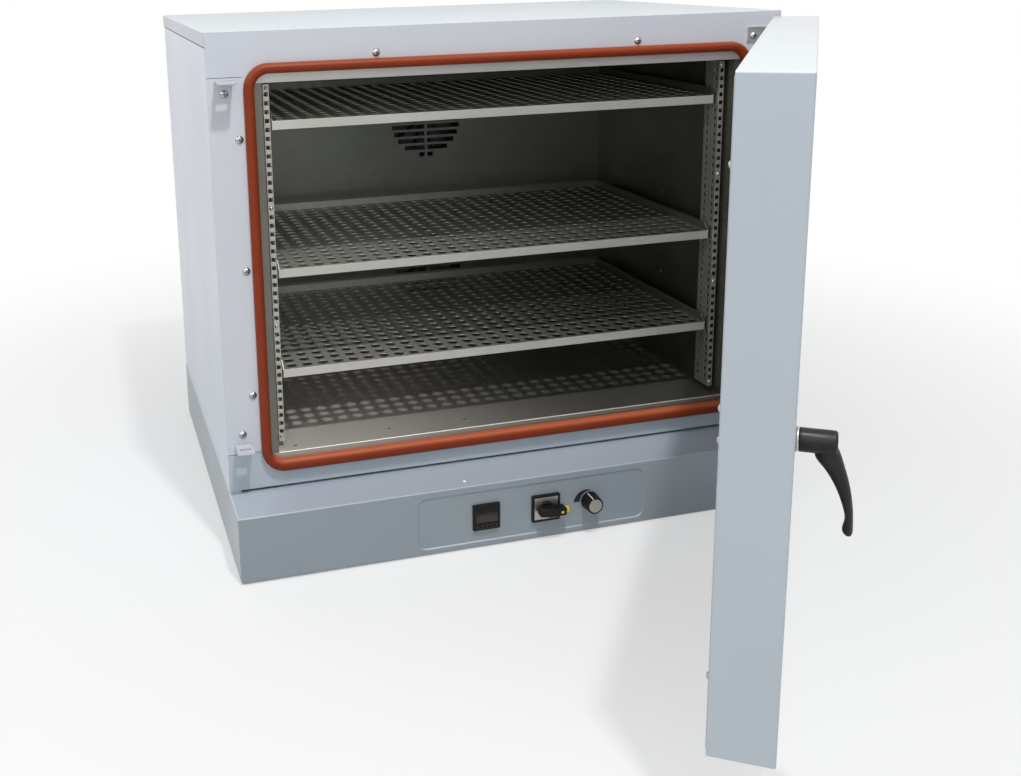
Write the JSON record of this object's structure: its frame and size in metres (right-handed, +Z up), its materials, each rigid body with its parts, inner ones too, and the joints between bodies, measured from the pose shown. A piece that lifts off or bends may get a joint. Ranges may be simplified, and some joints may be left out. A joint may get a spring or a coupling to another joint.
{
  "type": "dry heat sterilizer",
  "caption": "Bench-top hot air sterilizer: painted steel cabinet with a stainless chamber, perforated shelves, rear fans, a control base and a side-hinged door with a clamping lever.",
  "frame": {"origin": "centre of the flat underside of the base", "axes": "+Z up, -Y out of the chamber mouth towards the user, +X to the user's right, where the door hinges"},
  "size_m": [1.0801, 1.6342, 0.911],
  "materials": {
    "casing_paint": "satin",
    "inner_panel_paint": "satin",
    "zinc_plate": "zinc plated",
    "screw_steel": "nickel plated",
    "chamber_steel": "mill",
    "shelf_steel": "brushed",
    "upright_steel": "brushed",
    "seal_rubber": "smooth silicone",
    "wool": "mineral fibre",
    "fan_metal": "cast",
    "motor_paint": "matt",
    "heater_steel": "heat darkened",
    "black_plastic": "fine grain",
    "display_window": "dark tinted",
    "button_plastic": "satin",
    "silver_trim": "brushed",
    "yellow_plastic": "smooth",
    "scale_print": "printed",
    "lever_metal": "powder coated"
  },
  "bodies": {
    "cabinet": {"base_shell": "casing_paint", "base_bottom": "zinc_plate", "power_unit": "fan_metal", "cable_gland": "black_plastic", "side_panel_left": "casing_paint", "side_panel_right": "casing_paint", "top_cover": "casing_paint", "back_panel": "casing_paint", "front_top": "casing_paint", "front_post_left": "casing_paint", "front_post_right": "casing_paint", "front_sill": "casing_paint", "chamber_floor": "chamber_steel", "chamber_roof": "chamber_steel", "chamber_left": "chamber_steel", "chamber_right": "chamber_steel", "chamber_back": "chamber_steel", "plenum_back": "zinc_plate", "insulation": "wool", "upright_left": "upright_steel", "upright_right": "upright_steel", "upright_screws": "screw_steel", "shelf_rails": "shelf_steel", "door_seal": "seal_rubber", "fan_motors": "motor_paint", "heaters": "heater_steel", "temperature_probe": "upright_steel", "latch_keepers": "casing_paint", "hinge_brackets": "zinc_plate", "casing_screws": "screw_steel", "controller_body": "black_plastic", "controller_window": "display_window", "switch_frame": "black_plastic", "switch_plate": "silver_trim", "dial_socket": "motor_paint", "dial_scale": "scale_print"},
    "door": {"door_pan": "casing_paint", "door_inner_panel": "inner_panel_paint", "door_insulation": "wool", "hinge_bushes": "zinc_plate", "door_screws": "screw_steel", "lock_case": "zinc_plate", "lever_ring": "silver_trim"},
    "lever": {"lever": "lever_metal", "pinion": "zinc_plate"},
    "latch_rod_upper": {"latch_rod_upper": "zinc_plate"},
    "latch_rod_lower": {"latch_rod_lower": "zinc_plate"},
    "shelf_top": {"shelf_top": "shelf_steel"},
    "shelf_middle": {"shelf_middle": "shelf_steel"},
    "shelf_bottom": {"shelf_bottom": "shelf_steel"},
    "fan_upper": {"fan_wheel_upper": "fan_metal"},
    "fan_lower": {"fan_wheel_lower": "fan_metal"},
    "switch": {"switch_knob": "black_plastic", "switch_tab": "yellow_plastic"},
    "dial": {"dial_knob": "black_plastic", "dial_cap": "silver_trim"},
    "button_1": {"controller_button_1": "button_plastic"},
    "button_2": {"controller_button_2": "button_plastic"},
    "button_3": {"controller_button_3": "button_plastic"},
    "button_4": {"controller_button_4": "button_plastic"}
  },
  "joints": [
    {"name": "door_hinge", "type": "hinge", "parent": "cabinet", "child": "door", "pos_m": [0.504, -0.3415, 0.5], "axis": [0, 0, 1], "range_deg": [-54.8, 60]},
    {"name": "lever_turn", "type": "hinge", "parent": "door", "child": "lever", "pos_m": [-0.0015, -1.16218, 0.498], "axis": [-0.8171, 0.5764, 0], "range_deg": [-90, 0]},
    {"name": "rod_upper_slide", "type": "slide", "parent": "door", "child": "latch_rod_upper", "axis": [0, 0, 1], "range_m": [0, 0.01414]},
    {"name": "rod_lower_slide", "type": "slide", "parent": "door", "child": "latch_rod_lower", "axis": [0, 0, -1], "range_m": [0, 0.01414]},
    {"name": "shelf_top_slide", "type": "slide", "parent": "cabinet", "child": "shelf_top", "axis": [0, -1, 0], "range_m": [0, 0.15]},
    {"name": "shelf_middle_slide", "type": "slide", "parent": "cabinet", "child": "shelf_middle", "axis": [0, -1, 0], "range_m": [0, 0.15]},
    {"name": "shelf_bottom_slide", "type": "slide", "parent": "cabinet", "child": "shelf_bottom", "axis": [0, -1, 0], "range_m": [0, 0.15]},
    {"name": "fan_upper_spin", "type": "hinge", "parent": "cabinet", "child": "fan_upper", "pos_m": [0.017, 0.3, 0.675], "axis": [0, 1, 0], "continuous": true},
    {"name": "fan_lower_spin", "type": "hinge", "parent": "cabinet", "child": "fan_lower", "pos_m": [0.017, 0.3, 0.353], "axis": [0, 1, 0], "continuous": true},
    {"name": "switch_turn", "type": "hinge", "parent": "cabinet", "child": "switch", "pos_m": [0.027, -0.413, 0.06], "axis": [0, -1, 0], "range_deg": [0, 90]},
    {"name": "dial_turn", "type": "hinge", "parent": "cabinet", "child": "dial", "pos_m": [0.113, -0.42, 0.06], "axis": [0, -1, 0], "range_deg": [-20, 70]},
    {"name": "button_1_press", "type": "slide", "parent": "cabinet", "child": "button_1", "axis": [0, 1, 0], "range_m": [0, 0.001], "stiffness_N_per_m": 300},
    {"name": "button_2_press", "type": "slide", "parent": "cabinet", "child": "button_2", "axis": [0, 1, 0], "range_m": [0, 0.001], "stiffness_N_per_m": 300},
    {"name": "button_3_press", "type": "slide", "parent": "cabinet", "child": "button_3", "axis": [0, 1, 0], "range_m": [0, 0.001], "stiffness_N_per_m": 300},
    {"name": "button_4_press", "type": "slide", "parent": "cabinet", "child": "button_4", "axis": [0, 1, 0], "range_m": [0, 0.001], "stiffness_N_per_m": 300}
  ],
  "couplings": [
    {"joint": "rod_upper_slide", "follows": "lever_turn", "m_per_rad": -0.009},
    {"joint": "rod_lower_slide", "follows": "lever_turn", "m_per_rad": -0.009}
  ]
}
